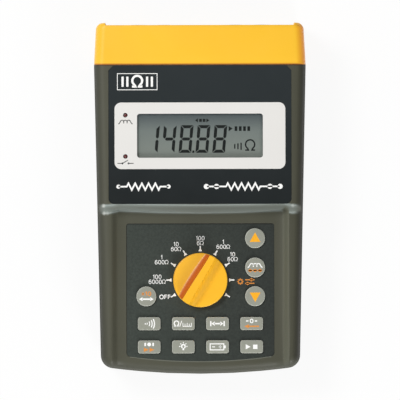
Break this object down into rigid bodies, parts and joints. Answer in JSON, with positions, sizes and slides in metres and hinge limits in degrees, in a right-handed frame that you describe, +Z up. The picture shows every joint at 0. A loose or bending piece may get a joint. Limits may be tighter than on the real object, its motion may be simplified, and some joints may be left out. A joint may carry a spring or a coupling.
{
  "type": "micro ohmmeter",
  "caption": "Handheld low-resistance meter with a raised display section, sunken keypad tray, rotary range knob, push buttons, end cap with lead sockets, and a fold-out tilt stand.",
  "frame": {"origin": "middle of the bounding box in X and Y, on the surface that the feet rest on", "axes": "+X toward the display's right, +Y toward the end cap with the sockets, +Z up out of the display"},
  "size_m": [0.1554, 0.257, 0.057],
  "materials": {
    "case_grey": "fine texture",
    "cap_yellow": "fine texture",
    "label_film": "satin",
    "surround_white": "satin",
    "lens_clear": "clear",
    "lcd_grey": "matt film",
    "lamp_red": "tinted, polished",
    "panel_film": "fine grain",
    "key_grey": "satin",
    "knob_yellow": "satin",
    "mat_rubber": "matt",
    "foot_rubber": "matt",
    "board_green": "lacquered",
    "steel": "plain",
    "brass": "plated",
    "black_plastic": "satin",
    "dark_plastic": "fine texture",
    "red_plastic": "polished",
    "white_plastic": "diffusing",
    "ivory_plastic": "satin",
    "green_plastic": "satin",
    "wire_red": "insulated",
    "shunt_metal": "plain",
    "sink_aluminium": "black anodised",
    "fuse_glass": "clear",
    "cell_can": "plastic sleeve"
  },
  "bodies": {
    "case": {"front_housing": "case_grey", "rear_housing": "case_grey", "terminal_cap": "cap_yellow", "terminal_panel": "dark_plastic", "collars_red": "red_plastic", "collars_black": "black_plastic", "socket_sleeves": "brass", "adaptor_inlet": "black_plastic", "inlet_pin": "steel", "front_label": "label_film", "display_surround": "surround_white", "display_lens": "lens_clear", "lcd_glass": "lcd_grey", "lcd_holder": "black_plastic", "backlight_panel": "white_plastic", "contact_strips": "mat_rubber", "display_board": "board_green", "display_screws": "steel", "lamp_upper": "lamp_red", "lamp_lower": "lamp_red", "keypad_panel": "panel_film", "keypad_mat": "mat_rubber", "main_board": "board_green", "board_screws": "steel", "contact_ring": "brass", "detent_springs": "steel", "terminal_board": "board_green", "sense_wires": "wire_red", "wire_block": "green_plastic", "buzzer": "black_plastic", "current_shunt": "shunt_metal", "heat_sink": "sink_aluminium", "fuse": "fuse_glass", "fuse_clips": "steel", "battery_holder": "black_plastic", "battery_cells": "cell_can", "battery_contacts": "steel", "battery_cover": "case_grey", "battery_cover_screws": "steel", "case_screws": "steel", "rubber_feet": "foot_rubber"},
    "selector": {"range_knob": "knob_yellow", "switch_rotor": "ivory_plastic", "switch_wipers": "brass"},
    "up_key": {"button_up": "key_grey"},
    "select_key": {"button_select": "key_grey"},
    "down_key": {"button_down": "key_grey"},
    "range_key": {"button_range": "key_grey"},
    "beeper_key": {"button_beeper": "key_grey"},
    "length_key": {"button_length": "key_grey"},
    "unit_key": {"button_unit": "key_grey"},
    "zero_key": {"button_zero": "key_grey"},
    "record_key": {"button_record": "key_grey"},
    "backlight_key": {"button_backlight": "key_grey"},
    "charge_key": {"button_charge": "key_grey"},
    "start_key": {"button_start": "key_grey"},
    "stand": {"tilt_stand": "dark_plastic"}
  },
  "joints": [
    {"name": "selector_turn", "type": "hinge", "parent": "case", "child": "selector", "pos_m": [0, -0.0595, 0.0441], "axis": [0, 0, 1], "range_deg": [-90, 150]},
    {"name": "up_key_press", "type": "slide", "parent": "case", "child": "up_key", "axis": [0, 0, -1], "range_m": [0, 0.0008], "stiffness_N_per_m": 1200},
    {"name": "select_key_press", "type": "slide", "parent": "case", "child": "select_key", "axis": [0, 0, -1], "range_m": [0, 0.0008], "stiffness_N_per_m": 1200},
    {"name": "down_key_press", "type": "slide", "parent": "case", "child": "down_key", "axis": [0, 0, -1], "range_m": [0, 0.0008], "stiffness_N_per_m": 1200},
    {"name": "range_key_press", "type": "slide", "parent": "case", "child": "range_key", "axis": [0, 0, -1], "range_m": [0, 0.0008], "stiffness_N_per_m": 1200},
    {"name": "beeper_key_press", "type": "slide", "parent": "case", "child": "beeper_key", "axis": [0, 0, -1], "range_m": [0, 0.0008], "stiffness_N_per_m": 1200},
    {"name": "length_key_press", "type": "slide", "parent": "case", "child": "length_key", "axis": [0, 0, -1], "range_m": [0, 0.0008], "stiffness_N_per_m": 1200},
    {"name": "unit_key_press", "type": "slide", "parent": "case", "child": "unit_key", "axis": [0, 0, -1], "range_m": [0, 0.0008], "stiffness_N_per_m": 1200},
    {"name": "zero_key_press", "type": "slide", "parent": "case", "child": "zero_key", "axis": [0, 0, -1], "range_m": [0, 0.0008], "stiffness_N_per_m": 1200},
    {"name": "record_key_press", "type": "slide", "parent": "case", "child": "record_key", "axis": [0, 0, -1], "range_m": [0, 0.0008], "stiffness_N_per_m": 1200},
    {"name": "backlight_key_press", "type": "slide", "parent": "case", "child": "backlight_key", "axis": [0, 0, -1], "range_m": [0, 0.0008], "stiffness_N_per_m": 1200},
    {"name": "charge_key_press", "type": "slide", "parent": "case", "child": "charge_key", "axis": [0, 0, -1], "range_m": [0, 0.0008], "stiffness_N_per_m": 1200},
    {"name": "start_key_press", "type": "slide", "parent": "case", "child": "start_key", "axis": [0, 0, -1], "range_m": [0, 0.0008], "stiffness_N_per_m": 1200},
    {"name": "stand_hinge", "type": "hinge", "parent": "case", "child": "stand", "pos_m": [0, 0.084, 0.00422], "axis": [1, 0, 0], "range_deg": [0, 55]}
  ]
}
